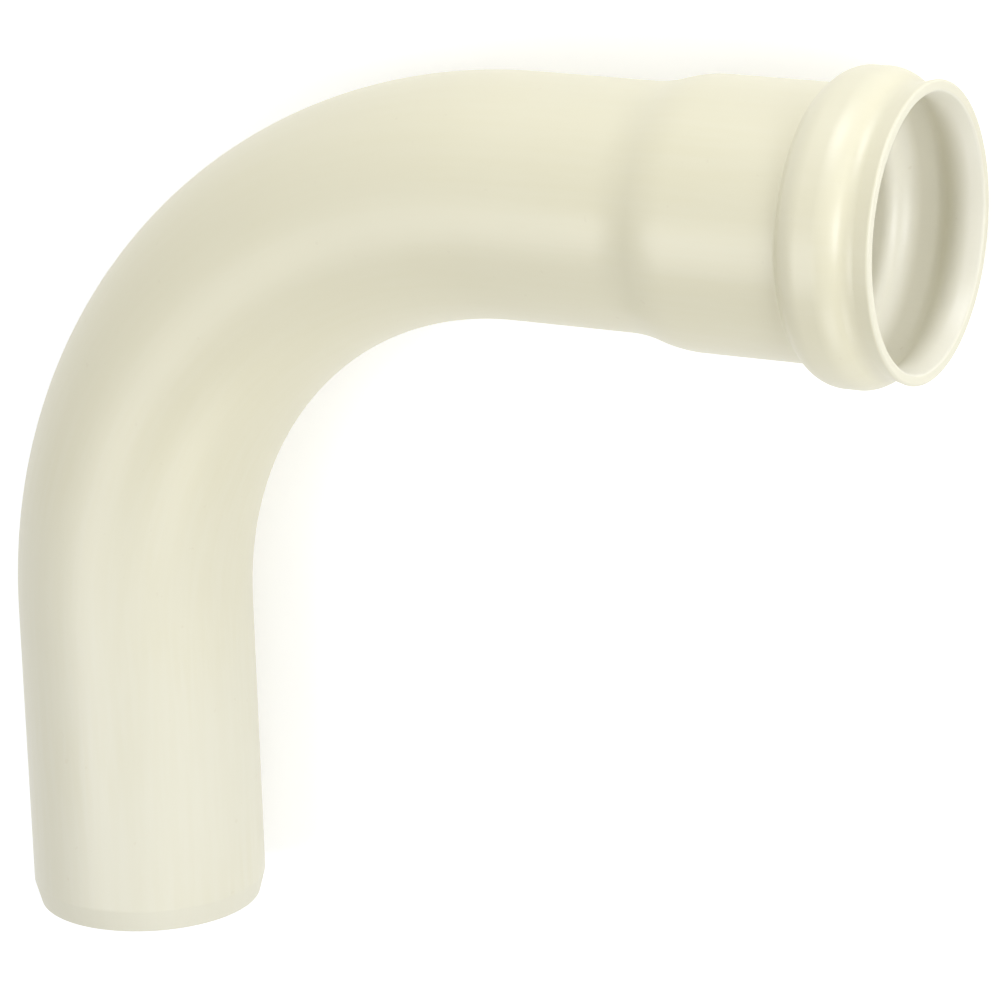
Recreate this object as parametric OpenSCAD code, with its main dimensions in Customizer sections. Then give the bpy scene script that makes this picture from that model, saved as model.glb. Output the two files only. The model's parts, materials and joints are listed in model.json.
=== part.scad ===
// Long radius pipe bend of pressure pipe, with one plain end and one ring-seal socket.
// The whole bend is one length of pipe, hot formed, so it is one solid of one colour.
// It lies as it comes to rest: on the swelling round the ring groove and on the side of the bend.
// Millimetres. The plain end points along -Y, the socket opens along +X, and the floor is Z = 0.

/* [Pipe] */
// outside diameter of the pipe, which is also that of the plain end
pipe_od = 110; // [63:1:200]
// thickness of the pipe's wall
pipe_wall = 5.3; // [3:0.1:10]
// length of the plain end, from its tip to the start of the bend
plain_len = 146; // [60:1:300]
// length of the lead-in chamfer round the tip of the plain end
tip_chamfer_len = 11; // [4:0.5:16]
// angle of that chamfer against the pipe
tip_chamfer_angle = 15; // [8:1:20]

/* [Bend] */
// radius of the bend, measured to the middle of the pipe
bend_radius = 214; // [150:1:500]
// angle that the pipe turns through
bend_angle = 90; // [75:1:90]
// straight length of pipe between the bend and the socket
neck_len = 58; // [20:1:200]

/* [Socket] */
// length over which the pipe swells out to the socket
swell_len = 36; // [24:1:60]
// gap all round between the socket and the pipe pushed into it
socket_gap = 0.4; // [0.1:0.05:0.5]
// thickness of the socket's wall, thinner than the pipe because it was stretched
socket_wall = 5.1; // [3:0.1:10]
// distance from the end of the swell to the middle of the ring groove
groove_pos = 70.4; // [40:0.5:140]

/* [Ring groove] */
// depth of the groove for the sealing ring, outwards from the socket's bore
groove_depth = 8.9; // [6:0.1:12]
// radius of the groove's rounded corners, in section
groove_round = 10; // [8:0.1:13]
// length of the flat between those corners, along the groove's bottom
groove_flat = 6; // [1:0.5:8]
// radius of the corner between the socket and the back of the groove, measured outside
shoulder_round = 2.5; // [1:0.1:6]

/* [Mouth] */
// distance from the middle of the ring groove to the end of the socket
mouth_len = 28; // [26:0.1:40]
// gap all round between the throat in front of the groove and the pipe
throat_gap = 3.2; // [0.6:0.1:4]
// radius of the waist in front of the groove, measured outside
waist_round = 7.8; // [4:0.1:12]
// angle at which the lip opens outwards
lip_angle = 16; // [3:0.5:20]
// size of the small chamfers on both edges of the lip
lip_edge = 0.9; // [0.3:0.1:1.5]

/* [Hidden] */
round_steps = 96;
curve_steps = 72;
pipe_color = [0.91, 0.89, 0.82];

// neighbouring curves run into each other by this much, so that they meet with no step
touch = 0.003;
// places along a section are kept to a thousandth of a millimetre
function fine(v) = round(v * 1000) / 1000;

pipe_r = pipe_od / 2;
bore_r = pipe_r - pipe_wall;
socket_r = pipe_r + socket_gap;
socket_side = socket_r + socket_wall;
tip_r = fine(pipe_r - tip_chamfer_len * tan(tip_chamfer_angle));

// where things lie along the socket's axis, counted from the end of the bend
swell_mid = neck_len + swell_len / 2;
swell_end = neck_len + swell_len;
groove_at = swell_end + groove_pos;
groove_back = groove_at - groove_flat / 2;
groove_front = groove_at + groove_flat / 2;
mouth_at = groove_at + mouth_len;

// circles that round the outside of the swelling round the groove, one at each end of its flat
crown_r = groove_round + socket_wall;
crown_top = socket_side + groove_depth;
crown_mid = crown_top - crown_r;

// circle that rounds the corner behind the groove
shoulder_mid = socket_side + shoulder_round;
shoulder_gap = crown_r + shoulder_round;
shoulder_rise = shoulder_mid - crown_mid;
shoulder_at = fine(groove_back - sqrt(pow(shoulder_gap - touch, 2) - pow(shoulder_rise, 2)));

// circle that rounds the waist in front of the groove
waist_mid = pipe_r + throat_gap + socket_wall + waist_round;
waist_gap = crown_r + waist_round;
waist_rise = waist_mid - crown_mid;
waist_at = fine(groove_front + sqrt(pow(waist_gap - touch, 2) - pow(waist_rise, 2)));

// where those circles meet the crown, and where the waist becomes the lip, at a depth in the wall
function shoulder_meets(depth) =
  fine(groove_back - (groove_back - shoulder_at) * (crown_r - depth) / shoulder_gap);
function waist_meets(depth) =
  fine(groove_front + (waist_at - groove_front) * (crown_r - depth) / waist_gap);
function lip_starts(depth) = fine(waist_at + (waist_round + depth) * sin(lip_angle));
function lip_r(depth, at) =
  fine(waist_mid - (waist_round + depth) * cos(lip_angle)
    + (at - lip_starts(depth)) * tan(lip_angle) + touch);

// end of the pipe's middle line at the socket, and the way that the socket opens
bend_end = bend_radius * [1 - cos(bend_angle), sin(bend_angle)];
way_out = [sin(bend_angle), cos(bend_angle)];

// at rest the side of the bend touches the floor at this angle from its start, and the swelling
// touches it at its crown, so the bend leans over by a little
rest_angle = 19.4;
rest_side = [-cos(rest_angle), sin(rest_angle)];
rest_point = bend_radius * [1 - cos(rest_angle), sin(rest_angle)];
crown_point = bend_end + groove_back * way_out;
lean = asin((crown_top - pipe_r) / ((rest_point - crown_point) * rest_side));
lift = pipe_r + sin(lean) * (rest_point * rest_side);

// the shift that brings the middle of the footprint over the origin
function leaned(v) = v - (1 - cos(lean)) * (v * rest_side) * rest_side;
mouth_lean = sin(lean) * abs(way_out * rest_side);
east = leaned(bend_end + mouth_at * way_out)[0] + lip_r(0, mouth_at) * mouth_lean;
north = leaned(crown_point)[1] + crown_top;
row_shift = [(pipe_r - east) / 2, (plain_len - north) / 2, lift];

// the part of a half section between two places along the axis, out to a radius
module strip(from, to, r) {
  translate([0, from]) square([r, to - from]);
}

// a circle in a half section, given by its middle's radius and place along the axis
module disc(mid_r, mid_at, r) {
  translate([mid_r, mid_at]) circle(r, $fn = curve_steps);
}

// the strip inside a circle that lies outside the wall, which gives a hollow curve
module hollow_curve(from, to, mid_r, mid_at, r) {
  difference() {
    strip(from, to, mid_r);
    disc(mid_r, mid_at, r);
  }
}

// the swell from the pipe's radius to the socket's, as two arcs that meet half-way
module swell_half(small, large) {
  step = large - small;
  crossing = touch * 10;
  r = fine((swell_len * swell_len + step * step) / (4 * step)) + crossing;
  hollow_curve(neck_len, swell_mid, small + r, neck_len, r);
  intersection() {
    strip(neck_len, swell_end, large + crossing);
    disc(large - r, swell_end, r);
  }
}

// half section of the lip at a depth, which begins under the waist's curve and ends in an edge
// that the chamfer turns in or out
module lip_half(depth, turn) {
  under_waist = 1;
  start = lip_starts(depth) - under_waist;
  edge_at = mouth_at - lip_edge;
  polygon([
    [0, start],
    [lip_r(depth, start), start],
    [lip_r(depth, edge_at), edge_at],
    [lip_r(depth, edge_at) + turn, mouth_at],
    [0, mouth_at],
  ]);
}

// half section of everything within the socket's surface, at a depth below its outside
module socket_half(pipe, depth, turn) {
  side = socket_side - depth;
  strip(0, mouth_at, pipe);
  swell_half(pipe, side);
  strip(swell_end, mouth_at, side);
  hollow_curve(shoulder_at, shoulder_meets(depth), shoulder_mid, shoulder_at, shoulder_round + depth);
  disc(crown_mid, groove_back, crown_r - depth);
  strip(groove_back, groove_front, crown_top - depth - touch);
  disc(crown_mid, groove_front, crown_r - depth);
  hollow_curve(waist_meets(depth), lip_starts(depth), waist_mid, waist_at, waist_round + depth);
  lip_half(depth, turn);
}

// the plain end with its chamfered tip, on the Y axis
module plain_end() {
  translate([0, -plain_len, 0])
    rotate([-90, 0, 0])
      rotate_extrude($fn = round_steps)
        polygon([
          [bore_r, 0],
          [tip_r, 0],
          [pipe_r, tip_chamfer_len],
          [pipe_r, plain_len],
          [bore_r, plain_len],
        ]);
}

// the curved pipe, from the plain end round to the socket
module curve() {
  translate([bend_radius, 0, 0])
    rotate([0, 0, 180 - bend_angle])
      rotate_extrude(angle = bend_angle, $fn = round_steps)
        translate([bend_radius, 0])
          difference() {
            circle(pipe_r, $fn = round_steps);
            circle(bore_r, $fn = round_steps);
          }
}

// the neck, the swell, the socket, its groove and its lip, on the pipe's axis after the bend
module socket() {
  translate([bend_end[0], bend_end[1], 0])
    rotate([0, 0, 90 - bend_angle])
      rotate([0, 90, 0])
        rotate_extrude($fn = round_steps)
          difference() {
            socket_half(pipe_r, 0, -lip_edge);
            socket_half(bore_r, socket_wall, lip_edge);
          }
}

module bend() {
  color(pipe_color)
    translate(row_shift)
      rotate(a = lean, v = [-rest_side[1], rest_side[0], 0]) {
        plain_end();
        curve();
        socket();
      }
}

bend();
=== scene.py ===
# Long radius pipe bend of cream pressure pipe, lying on a pale floor and seen from above.
# Metres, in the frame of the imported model. Sections are written in millimetres, as in the part.

import json
import math

import bpy
import numpy as np
from mathutils import Matrix, Vector

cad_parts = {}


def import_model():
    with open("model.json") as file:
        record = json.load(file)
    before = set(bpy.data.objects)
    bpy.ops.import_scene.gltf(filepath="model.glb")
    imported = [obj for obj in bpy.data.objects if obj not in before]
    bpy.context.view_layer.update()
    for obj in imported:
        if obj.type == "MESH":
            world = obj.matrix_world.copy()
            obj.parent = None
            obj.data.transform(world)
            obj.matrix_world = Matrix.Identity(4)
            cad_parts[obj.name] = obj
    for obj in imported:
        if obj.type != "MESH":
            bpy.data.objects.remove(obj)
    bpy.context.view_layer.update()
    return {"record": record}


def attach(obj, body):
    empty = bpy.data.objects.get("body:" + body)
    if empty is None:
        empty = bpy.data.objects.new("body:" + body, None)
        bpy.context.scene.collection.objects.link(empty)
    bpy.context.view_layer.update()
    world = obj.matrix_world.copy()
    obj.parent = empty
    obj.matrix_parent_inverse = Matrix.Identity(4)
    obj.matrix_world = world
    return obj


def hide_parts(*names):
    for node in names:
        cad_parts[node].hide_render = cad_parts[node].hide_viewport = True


MM = 0.001

# pipe
PIPE_R = 55.0
BORE_R = 49.7
PLAIN_LEN = 146.0
TIP_CHAMFER_LEN = 11.0
TIP_CHAMFER_ANGLE = 15.0
BEND_R = 214.0
NECK_LEN = 58.0

# socket, along its axis from the end of the bend
SWELL_LEN = 36.0
SOCKET_R = 55.4
SOCKET_WALL = 5.1
GROOVE_POS = 70.4
GROOVE_DEPTH = 8.9
GROOVE_ROUND = 10.0
GROOVE_FLAT = 6.0
SHOULDER_ROUND = 2.5
MOUTH_LEN = 28.0
THROAT_GAP = 3.2
WAIST_ROUND = 7.8
LIP_ANGLE = 16.0
LIP_EDGE = 0.9

# rounding of the edges, which the tool or the knife left
TIP_EDGE_ROUND = 0.7
TIP_BEND_ROUND = 6.0
LIP_EDGE_ROUND = 1.2

# how finely the section and the sweep are cut, and where the straight runs of the section begin
AROUND = 160
STEP_ON_BEND = 3.5
SOCKET_RUN_STEPS = 6
BORE_START = 20.0
RUN_START = TIP_CHAMFER_LEN + 30.0

# a point is on a cut face, or inside, when it lies past its edge by this much
CUT_MARGIN = 0.2
BORE_MARGIN = 0.1
RINGS_ON_LIP_FACE = 3

# the UV map: a strip for the outside and one for the inside, with a margin round each
UV_MARGIN = 0.01
UV_STRIP = 0.48
UV_INSIDE = 0.5

# colours of the plastic, with painted light for its inside, and its roughness
CREAM = (0.775, 0.748, 0.595)
CREAM_WARM = (0.760, 0.727, 0.555)
CREAM_PALE = (0.792, 0.768, 0.625)
CREAM_HEATED = (0.765, 0.720, 0.505)
# painted light: the inside of the socket and the bore is painted paler than the plastic, standing in for
# light that gets in through the mouth and the thin wall
INSIDE_PAINTED_LIGHT = (0.915, 0.890, 0.760)
CREAM_CUT = (0.785, 0.759, 0.612)
SPECK = (0.66, 0.60, 0.43)
GLOSS_LOW = 0.30
GLOSS_HIGH = 0.38
LINE_DULLING = 0.06
CUT_DULLING = 0.16
PLASTIC_IOR = 1.54
SPECULAR_LEVEL = 0.65

# how far each tint covers the one below it
LINE_SHARE = 0.5
HEATED_SHARE = 0.6
# painted light: how far the paler inside colour covers the plastic inside the socket and the bore
INSIDE_PAINTED_LIGHT_SHARE = 0.95
SPECK_SHARE = 0.2
CUT_SHARE = 0.6

# patterns: stretch along three directions, scale per metre and detail
EVEN = (1, 1, 1)
CLOUDS = (EVEN, 11.0, 3.0)
WAVES = (EVEN, 26.0, 1.0)
GRAIN = (EVEN, 700.0, 2.0)
SPECKS = (EVEN, 240.0, 1.0)
LINES = ((1.2, 1, 1), 16.0, 4.0)
FINE_LINES = ((2.5, 1, 1), 60.0, 2.0)
RINGS = ((1, 0.01, 0.01), 900.0, 2.0)

# height of the surface's relief in millimetres: soft waves, drawn lines, tool rings and grain
WAVE_HEIGHT = 0.30
LINE_HEIGHT = 0.035
FINE_LINE_HEIGHT = 0.012
RING_HEIGHT = 0.05
GRAIN_HEIGHT = 0.008

# the part of the path that was heated to bend the pipe and to form its socket
HEATED_FROM = 60.0
HEATED_TO = 330.0

# camera, in the frame of the bend: Y up the plain end, X out of the socket
VIEW_AZIMUTH = 28.17
VIEW_ELEVATION = 16.79
VIEW_ROLL = -1.79
VIEW_DISTANCE = 2351.5
VIEW_TARGET = (195.78, 72.08, 0.0)
FOCAL_PIXELS = 5231.4
PHOTO_PIXELS = 1000.0
SENSOR_MM = 36.0
CLIP_NEAR = 0.05
CLIP_FAR = 50

# lamps: right, up and towards the camera in its view, size in metres, watts
LAMP_MIDDLE = (0, 0, 0.05)
LAMP_DISTANCE = 2.0
LAMPS = {
    "right": (0.84, -0.08, 0.54, 1.0, 6.5),
    "upper_right": (0.55, 0.50, 0.67, 1.0, 2.0),
    "top": (0.0, 0.85, 0.53, 1.0, 14.0),
    "front": (0.54, -0.09, 0.84, 0.6, 9.0),
    "left": (-0.72, -0.38, 0.58, 1.2, 9.5),
    "below": (0.15, -0.92, 0.37, 1.0, 5.0),
}
LAMP_COLOR = (0.985, 1.0, 1.05)
WORLD_LIGHT = 0.46

# floor: a pale grey that the camera sees as white, more so where the lamps fall off
FLOOR_HALF = 4.0
FLOOR_COLOR = (0.9, 0.9, 0.9, 1)
FLOOR_ROUGHNESS = 0.9
FLOOR_GLOW = 0.36
GLOW_NEAR = 0.5
GLOW_FAR = 2.5
WHITE = (1, 1, 1, 1)


def part_frame(record):
    """The matrix that takes the bend's own frame, in metres, to the row's frame."""
    mounts = {m["name"]: m for m in record["mounts"]}
    plain = mounts["plain_end"]
    socket = mounts["socket"]
    up = -Vector(plain["axis"]).normalized()
    out = Vector(socket["axis"])
    out = (out - out.dot(up) * up).normalized()
    normal = out.cross(up)
    plain_middle = plain["dims"]["length_mm"] / 2 * MM
    origin = Vector(plain["pos_m"]) + plain_middle * up
    return Matrix.Translation(origin) @ Matrix((out, up, normal)).transposed().to_4x4()


def arc(at, radius, r, start, end, steps):
    """Points of an arc in the section: at is the place along the axis, radius the distance from it."""
    turn = np.radians(np.linspace(start, end, steps + 1))
    return [(at + r * math.cos(a), radius + r * math.sin(a)) for a in turn]


def rounded(points, rounds, steps=6):
    """The polyline with its inner corners rounded by the given radii."""
    result = [points[0]]
    for before, here, after, r in zip(points, points[1:], points[2:], rounds):
        corner = Vector(here)
        back = (Vector(before) - corner).normalized()
        ahead = (Vector(after) - corner).normalized()
        half = back.angle(ahead) / 2
        reach = r / math.tan(half)
        first = corner + back * reach
        last = corner + ahead * reach
        middle = corner + (back + ahead).normalized() * (r / math.sin(half))
        for i in range(steps + 1):
            between = first.lerp(last, i / steps) - middle
            spot = middle + between.normalized() * r
            result.append((spot.x, spot.y))
    result.append(points[-1])
    return result


def swell_points(small, large, steps=14):
    """The swell from the neck to the socket, as two arcs."""
    half = SWELL_LEN / 2
    step = large - small
    r = (SWELL_LEN**2 + step**2) / (4 * step)
    points = []
    for i in range(2 * steps + 1):
        along = half * i / steps
        if along <= half:
            rise = r - math.sqrt(r * r - along * along)
        else:
            rise = step - r + math.sqrt(r * r - (SWELL_LEN - along) ** 2)
        points.append((NECK_LEN + along, small + rise))
    return points


def socket_points(depth):
    """The section of the groove and the lip, at a depth in the wall, up to just before the edge."""
    side = SOCKET_R + SOCKET_WALL
    crown_r = GROOVE_ROUND + SOCKET_WALL
    crown_middle = side + GROOVE_DEPTH - crown_r
    groove_at = NECK_LEN + SWELL_LEN + GROOVE_POS
    back_at = groove_at - GROOVE_FLAT / 2
    front_at = groove_at + GROOVE_FLAT / 2
    mouth_at = groove_at + MOUTH_LEN

    shoulder_middle = side + SHOULDER_ROUND
    gap = crown_r + SHOULDER_ROUND
    rise = shoulder_middle - crown_middle
    shoulder_at = back_at - math.sqrt(gap**2 - rise**2)
    shoulder_turn = math.degrees(math.atan2(rise, back_at - shoulder_at))

    waist_middle = PIPE_R + THROAT_GAP + SOCKET_WALL + WAIST_ROUND
    gap = crown_r + WAIST_ROUND
    rise = waist_middle - crown_middle
    waist_at = front_at + math.sqrt(gap**2 - rise**2)
    waist_turn = math.degrees(math.atan2(rise, waist_at - front_at))

    small = SHOULDER_ROUND + depth
    waist = WAIST_ROUND + depth
    crown = crown_r - depth
    points = arc(shoulder_at, shoulder_middle, small, -90, -shoulder_turn, 10)
    points += arc(back_at, crown_middle, crown, 180 - shoulder_turn, 90, 16)[1:]
    points += arc(front_at, crown_middle, crown, 90, waist_turn, 16)
    points += arc(waist_at, waist_middle, waist, 180 + waist_turn, 270 + LIP_ANGLE, 14)[1:]
    lip_at, lip_r = points[-1]
    slope = math.tan(math.radians(LIP_ANGLE))
    end_r = lip_r + (mouth_at - lip_at) * slope
    return points, (mouth_at, end_r)


def wall_section():
    """The whole wall as one closed loop of points, place along the path and radius."""
    tip_r = PIPE_R - TIP_CHAMFER_LEN * math.tan(math.radians(TIP_CHAMFER_ANGLE))
    path_to_neck = PLAIN_LEN + BEND_R * math.pi / 2
    side = SOCKET_R + SOCKET_WALL
    slope = math.tan(math.radians(LIP_ANGLE))

    def on_path(points):
        return [(path_to_neck + at, r) for at, r in points]

    tip = [
        (BORE_START, BORE_R),
        (0.0, BORE_R),
        (0.0, tip_r),
        (TIP_CHAMFER_LEN, PIPE_R),
        (RUN_START, PIPE_R),
    ]
    tip = rounded(tip, (TIP_EDGE_ROUND, TIP_EDGE_ROUND, TIP_BEND_ROUND))

    last = path_to_neck + NECK_LEN
    steps = int((last - RUN_START) / STEP_ON_BEND)
    outside = [(RUN_START + (last - RUN_START) * i / steps, PIPE_R) for i in range(1, steps)]
    outside += on_path(swell_points(PIPE_R, side))
    groove, end = socket_points(0.0)
    socket_start = NECK_LEN + SWELL_LEN
    step = (groove[0][0] - socket_start) / SOCKET_RUN_STEPS
    outside += on_path([(socket_start + step * i, side) for i in range(1, SOCKET_RUN_STEPS)])
    outside += on_path(groove)

    inner_groove, inner_end = socket_points(SOCKET_WALL)
    mouth = [
        groove[-1],
        (end[0] - LIP_EDGE, end[1] - LIP_EDGE * slope),
        (end[0], end[1] - LIP_EDGE * slope - LIP_EDGE),
        (inner_end[0], inner_end[1] - LIP_EDGE * slope + LIP_EDGE),
        (inner_end[0] - LIP_EDGE, inner_end[1] - LIP_EDGE * slope),
        inner_groove[-1],
    ]
    rim = rounded(mouth, (LIP_EDGE_ROUND,) * 4, 4)

    inside = list(reversed(inner_groove))
    step = (inner_groove[0][0] - socket_start) / SOCKET_RUN_STEPS
    inside += [(socket_start + step * i, SOCKET_R) for i in range(SOCKET_RUN_STEPS - 1, 0, -1)]
    inside += list(reversed(swell_points(BORE_R, SOCKET_R)))
    steps = int((last - BORE_START) / (2 * STEP_ON_BEND))
    step = (last - BORE_START) / steps
    back = [(BORE_START + step * i, BORE_R) for i in range(steps - 1, 0, -1)]
    return tip + outside + on_path(rim[1:-1]) + on_path(inside) + back


def path_point(along):
    """The middle of the pipe at a place along the path, and the way across to the outside of the bend."""
    curve = BEND_R * math.pi / 2
    if along < PLAIN_LEN:
        return Vector((0, along - PLAIN_LEN, 0)), Vector((-1, 0, 0))
    if along < PLAIN_LEN + curve:
        turn = (along - PLAIN_LEN) / BEND_R
        across = Vector((-math.cos(turn), math.sin(turn), 0))
        return Vector((BEND_R, 0, 0)) + across * BEND_R, across
    rest = along - PLAIN_LEN - curve
    return Vector((BEND_R + rest, BEND_R, 0)), Vector((0, 1, 0))


def add_places(mesh, section, turns):
    """Each point's place along the pipe and round it, and whether it is on a cut face or inside."""
    mouth = max(range(len(section)), key=lambda i: section[i][0])
    mouth_along = section[mouth][0]
    mesh.attributes.new("pipe_place", "FLOAT_VECTOR", "POINT")
    mesh.attributes.new("pipe_cut", "FLOAT", "POINT")
    mesh.attributes.new("pipe_inside", "FLOAT", "POINT")
    values = np.zeros((len(section), AROUND, 3), np.float32)
    cut = np.zeros((len(section), AROUND), np.float32)
    inside = np.zeros((len(section), AROUND), np.float32)
    for ring, (along, radius) in enumerate(section):
        for k, turn in enumerate(turns):
            values[ring, k] = (along * MM, math.cos(turn), math.sin(turn))
        on_tip = along < TIP_CHAMFER_LEN - CUT_MARGIN and radius > BORE_R + BORE_MARGIN
        on_lip = along > mouth_along - LIP_EDGE
        cut[ring] = float(on_tip or on_lip)
        inside[ring] = float(ring > mouth + RINGS_ON_LIP_FACE or radius < BORE_R + BORE_MARGIN)
    mesh.attributes["pipe_place"].data.foreach_set("vector", values.ravel())
    mesh.attributes["pipe_cut"].data.foreach_set("value", cut.ravel())
    mesh.attributes["pipe_inside"].data.foreach_set("value", inside.ravel())


def add_uv(mesh, section):
    """A strip for the outside and one for the inside, with their seam round the back."""
    rings = len(section)
    lengths = [math.dist(section[i], section[(i + 1) % rings]) for i in range(rings)]
    reached = np.concatenate([[0.0], np.cumsum(lengths + lengths)])
    mouth = max(range(rings), key=lambda i: section[i][0])
    tip = min(range(rings), key=lambda i: (round(section[i][0], 3), -section[i][1]))
    outer = reached[mouth] - reached[tip]
    inner = reached[rings] - outer
    layer = mesh.uv_layers.new(name="OFBake")
    for face in mesh.polygons:
        ring, k = divmod(face.index, AROUND)
        for loop in face.loop_indices:
            point_ring, point_k = divmod(mesh.loops[loop].vertex_index, AROUND)
            step = ring + int(point_ring != ring)
            wide = (k + int(point_k != k)) / AROUND
            if tip <= ring < mouth:
                strip = 0.0
                v = (reached[step] - reached[tip]) / outer
            else:
                strip = UV_INSIDE
                v = (reached[step + (rings if ring < tip else 0)] - reached[mouth]) / inner
            u = strip + UV_MARGIN + UV_STRIP * wide
            layer.data[loop].uv = (u, UV_MARGIN + (1 - 2 * UV_MARGIN) * v)


def swept_faces(rings):
    """The faces between neighbouring rings, the last of which joins the first."""
    faces = []
    for ring in range(rings):
        here = ring * AROUND
        there = (ring + 1) % rings * AROUND
        for k in range(AROUND):
            beside = (k + 1) % AROUND
            faces.append((here + k, there + k, there + beside, here + beside))
    return faces


def build_pipe(place):
    """The bend as one closed wall, swept along its path."""
    section = wall_section()
    turns = [2 * math.pi * k / AROUND for k in range(AROUND)]
    points = []
    for along, radius in section:
        middle, across = path_point(along)
        for turn in turns:
            spot = middle + radius * (math.cos(turn) * across + math.sin(turn) * Vector((0, 0, 1)))
            points.append(place @ (spot * MM))
    mesh = bpy.data.meshes.new("pipe_bend")
    mesh.from_pydata(points, [], swept_faces(len(section)))
    mesh.validate()
    mesh.update()
    volume = sum(mesh.vertices[f.vertices[0]].co.dot(f.normal) * f.area for f in mesh.polygons)
    if volume < 0:
        mesh.flip_normals()
    mesh.shade_smooth()
    add_places(mesh, section, turns)
    add_uv(mesh, section)
    piece = bpy.data.objects.new("pipe_bend", mesh)
    bpy.context.scene.collection.objects.link(piece)
    return piece


def math_node(tree, operation, first, second):
    """The output of a Math node on two sockets or numbers."""
    node = tree.nodes.new("ShaderNodeMath")
    node.operation = operation
    for socket, value in zip(node.inputs, (first, second)):
        if isinstance(value, bpy.types.NodeSocket):
            tree.links.new(value, socket)
        else:
            socket.default_value = value
    return node.outputs["Value"]


def map_range(tree, value, low, high, to_low, to_high):
    """The value taken smoothly from one range to another."""
    node = tree.nodes.new("ShaderNodeMapRange")
    node.interpolation_type = "SMOOTHSTEP"
    tree.links.new(value, node.inputs["Value"])
    for name, number in zip(("From Min", "From Max", "To Min", "To Max"), (low, high, to_low, to_high)):
        node.inputs[name].default_value = number
    return node.outputs["Result"]


def noise(tree, where, pattern):
    """Noise from 0 to 1, of a pattern's stretch, scale and detail."""
    stretch, scale, detail = pattern
    mapping = tree.nodes.new("ShaderNodeMapping")
    mapping.inputs["Scale"].default_value = stretch
    node = tree.nodes.new("ShaderNodeTexNoise")
    node.inputs["Scale"].default_value = scale
    node.inputs["Detail"].default_value = detail
    tree.links.new(where, mapping.inputs["Vector"])
    tree.links.new(mapping.outputs["Vector"], node.inputs["Vector"])
    return node.outputs["Fac"]


def mix_color(tree, factor, first, second):
    """A colour between two, each a socket or three numbers."""
    node = tree.nodes.new("ShaderNodeMix")
    node.data_type = "RGBA"
    tree.links.new(factor, node.inputs["Factor"])
    for socket, value in zip((node.inputs["A"], node.inputs["B"]), (first, second)):
        if isinstance(value, bpy.types.NodeSocket):
            tree.links.new(value, socket)
        else:
            socket.default_value = (*value, 1)
    return node.outputs["Result"]


def attribute(tree, name, output):
    """A value that the mesh carries at each point."""
    node = tree.nodes.new("ShaderNodeAttribute")
    node.attribute_name = name
    return node.outputs[output]


def pipe_material():
    """Cream pressure pipe: extruded with faint lines, hot formed, cut at both ends, and painted paler
    inside as painted light.
    """
    material = bpy.data.materials.new("cream_pipe")
    material.use_nodes = True
    tree = material.node_tree
    shader = tree.nodes["Principled BSDF"]
    shader.inputs["IOR"].default_value = PLASTIC_IOR
    shader.inputs["Specular IOR Level"].default_value = SPECULAR_LEVEL

    place = attribute(tree, "pipe_place", "Vector")
    split = tree.nodes.new("ShaderNodeSeparateXYZ")
    tree.links.new(place, split.inputs["Vector"])
    cut = attribute(tree, "pipe_cut", "Fac")
    inside = attribute(tree, "pipe_inside", "Fac")
    spot = tree.nodes.new("ShaderNodeTexCoord").outputs["Object"]
    clouds = noise(tree, spot, CLOUDS)
    lines = noise(tree, place, LINES)
    heated = map_range(tree, split.outputs["X"], HEATED_FROM * MM, HEATED_TO * MM, 0.0, 1.0)

    specks = noise(tree, spot, SPECKS)
    tints = (
        (map_range(tree, lines, 0.35, 0.7, 0.0, LINE_SHARE), CREAM_PALE),
        (math_node(tree, "MULTIPLY", heated, HEATED_SHARE), CREAM_HEATED),
        # painted light: the inside of the socket and the bore is painted paler, standing in for light
        # that gets in through the mouth and the thin wall
        (math_node(tree, "MULTIPLY", inside, INSIDE_PAINTED_LIGHT_SHARE), INSIDE_PAINTED_LIGHT),
        (map_range(tree, specks, 0.75, 0.81, 0.0, SPECK_SHARE), SPECK),
        (math_node(tree, "MULTIPLY", cut, CUT_SHARE), CREAM_CUT),
    )
    color = mix_color(tree, map_range(tree, clouds, 0.3, 0.7, 0.0, 1.0), CREAM_WARM, CREAM)
    for share, tint in tints:
        color = mix_color(tree, share, color, tint)
    tree.links.new(color, shader.inputs["Base Color"])

    gloss = map_range(tree, clouds, 0.25, 0.75, GLOSS_LOW, GLOSS_HIGH)
    gloss = math_node(tree, "ADD", gloss, math_node(tree, "MULTIPLY", lines, LINE_DULLING))
    gloss = math_node(tree, "ADD", gloss, math_node(tree, "MULTIPLY", cut, CUT_DULLING))
    tree.links.new(gloss, shader.inputs["Roughness"])

    heights = (
        (math_node(tree, "MULTIPLY", noise(tree, spot, WAVES), heated), WAVE_HEIGHT),
        (lines, LINE_HEIGHT),
        (noise(tree, place, FINE_LINES), FINE_LINE_HEIGHT),
        (math_node(tree, "MULTIPLY", noise(tree, place, RINGS), cut), RING_HEIGHT),
        (noise(tree, spot, GRAIN), GRAIN_HEIGHT),
    )
    height = 0.0
    for part, size in heights:
        height = math_node(tree, "ADD", height, math_node(tree, "MULTIPLY", part, size * MM))
    relief = tree.nodes.new("ShaderNodeBump")
    relief.inputs["Distance"].default_value = 1.0
    tree.links.new(height, relief.inputs["Height"])
    tree.links.new(relief.outputs["Normal"], shader.inputs["Normal"])
    return material


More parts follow.
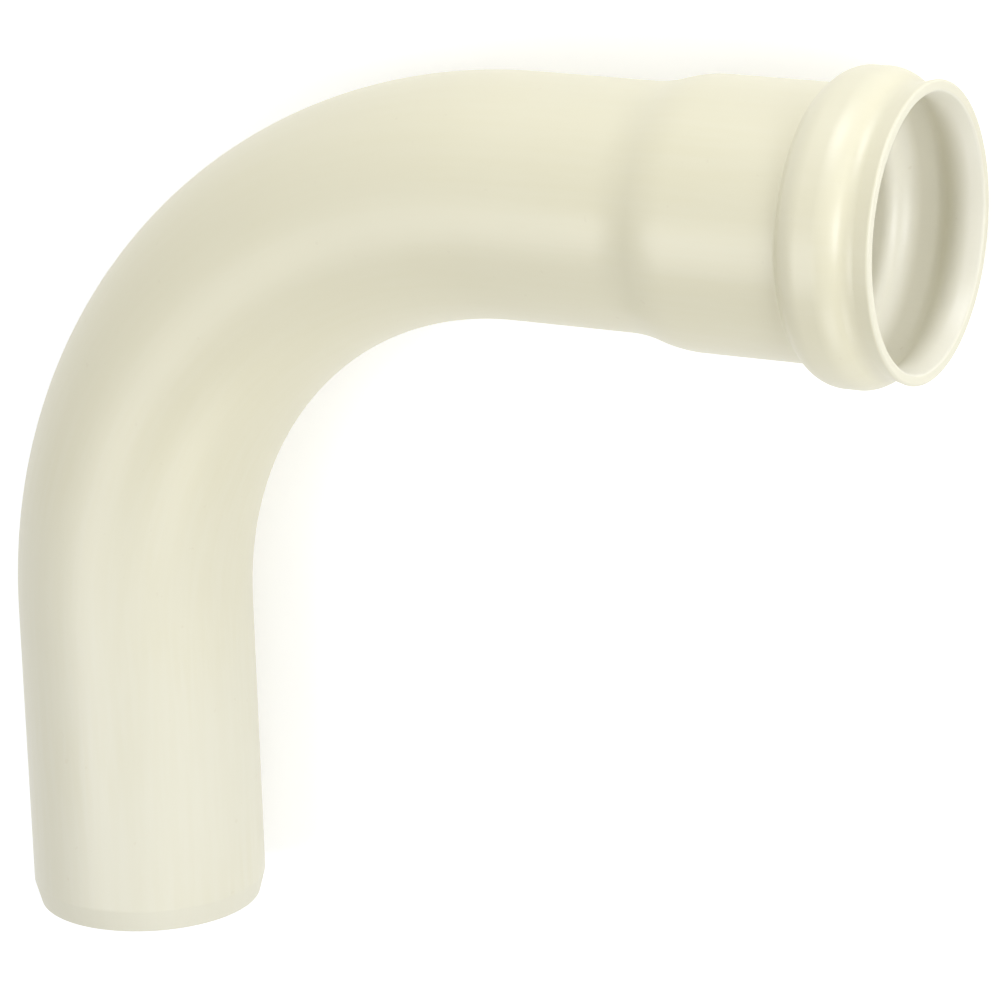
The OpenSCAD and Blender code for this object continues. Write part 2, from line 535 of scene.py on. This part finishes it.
def add_camera(place):
    """The camera at the photograph's viewing angle."""
    azimuth = math.radians(VIEW_AZIMUTH)
    elevation = math.radians(VIEW_ELEVATION)
    roll = math.radians(VIEW_ROLL)
    toward = Vector(
        (
            math.sin(azimuth) * math.cos(elevation),
            math.sin(elevation),
            math.cos(azimuth) * math.cos(elevation),
        )
    )
    side = (-toward).cross(Vector((0, 1, 0))).normalized()
    above = side.cross(-toward)
    right = math.cos(roll) * side + math.sin(roll) * above
    top = -math.sin(roll) * side + math.cos(roll) * above
    spot = (Vector(VIEW_TARGET) + VIEW_DISTANCE * toward) * MM
    own = Matrix.Translation(spot) @ Matrix((right, top, toward)).transposed().to_4x4()
    data = bpy.data.cameras.new("camera")
    data.sensor_width = SENSOR_MM
    data.lens = SENSOR_MM * FOCAL_PIXELS / PHOTO_PIXELS
    data.clip_start = CLIP_NEAR
    data.clip_end = CLIP_FAR
    camera = bpy.data.objects.new("camera", data)
    camera.matrix_world = place @ own
    bpy.context.scene.collection.objects.link(camera)
    bpy.context.scene.camera = camera
    return camera


def add_floor():
    """A pale floor that keeps the shadow and looks white from the camera."""
    mesh = bpy.data.meshes.new("floor")
    signs = ((-1, -1), (1, -1), (1, 1), (-1, 1))
    mesh.from_pydata([(x * FLOOR_HALF, y * FLOOR_HALF, 0) for x, y in signs], [], [(0, 1, 2, 3)])
    floor = bpy.data.objects.new("floor", mesh)
    bpy.context.scene.collection.objects.link(floor)
    material = bpy.data.materials.new("floor")
    material.use_nodes = True
    tree = material.node_tree
    shader = tree.nodes["Principled BSDF"]
    shader.inputs["Base Color"].default_value = FLOOR_COLOR
    shader.inputs["Roughness"].default_value = FLOOR_ROUGHNESS
    shader.inputs["Specular IOR Level"].default_value = 0.0
    shader.inputs["Emission Color"].default_value = WHITE
    away = tree.nodes.new("ShaderNodeVectorMath")
    away.operation = "LENGTH"
    tree.links.new(tree.nodes.new("ShaderNodeTexCoord").outputs["Object"], away.inputs["Vector"])
    glow = map_range(tree, away.outputs["Value"], GLOW_NEAR, GLOW_FAR, FLOOR_GLOW, 1.0)
    glow = math_node(tree, "MULTIPLY", glow, seen_directly(tree))
    tree.links.new(glow, shader.inputs["Emission Strength"])
    mesh.materials.append(material)


def add_lamp(name, camera, place, size, watts):
    """A soft square lamp, placed by its direction in the camera's view."""
    way = (camera.matrix_world.to_3x3() @ Vector(place)).normalized()
    data = bpy.data.lights.new(name, "AREA")
    data.size = size
    data.energy = watts
    data.color = LAMP_COLOR
    lamp = bpy.data.objects.new(name, data)
    spot = Matrix.Translation(Vector(LAMP_MIDDLE) + way * LAMP_DISTANCE)
    lamp.matrix_world = spot @ way.to_track_quat("Z", "Y").to_matrix().to_4x4()
    bpy.context.scene.collection.objects.link(lamp)


def seen_directly(tree):
    """One for rays from the camera and for reflected and refracted rays, else zero."""
    path = tree.nodes.new("ShaderNodeLightPath")
    either = math_node(tree, "MAXIMUM", path.outputs["Is Camera Ray"], path.outputs["Is Glossy Ray"])
    return math_node(tree, "MAXIMUM", either, path.outputs["Is Transmission Ray"])


def add_world():
    """Even light all round, which the camera and reflections see as white."""
    world = bpy.data.worlds.new("studio")
    world.use_nodes = True
    tree = world.node_tree
    background = tree.nodes["Background"]
    background.inputs["Color"].default_value = WHITE
    strength = map_range(tree, seen_directly(tree), 0, 1, WORLD_LIGHT, 1.0)
    tree.links.new(strength, background.inputs["Strength"])
    bpy.context.scene.world = world


def main():
    """The whole scene."""
    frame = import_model()
    place = part_frame(frame["record"])

    piece = build_pipe(place)
    piece.data.materials.append(pipe_material())
    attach(piece, "root")
    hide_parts("bend")

    camera = add_camera(place)
    add_floor()
    for name, (right, top, toward, size, watts) in LAMPS.items():
        add_lamp(name, camera, (right, top, toward), size, watts)
    add_world()
    bpy.context.scene.view_settings.view_transform = "Standard"


main()
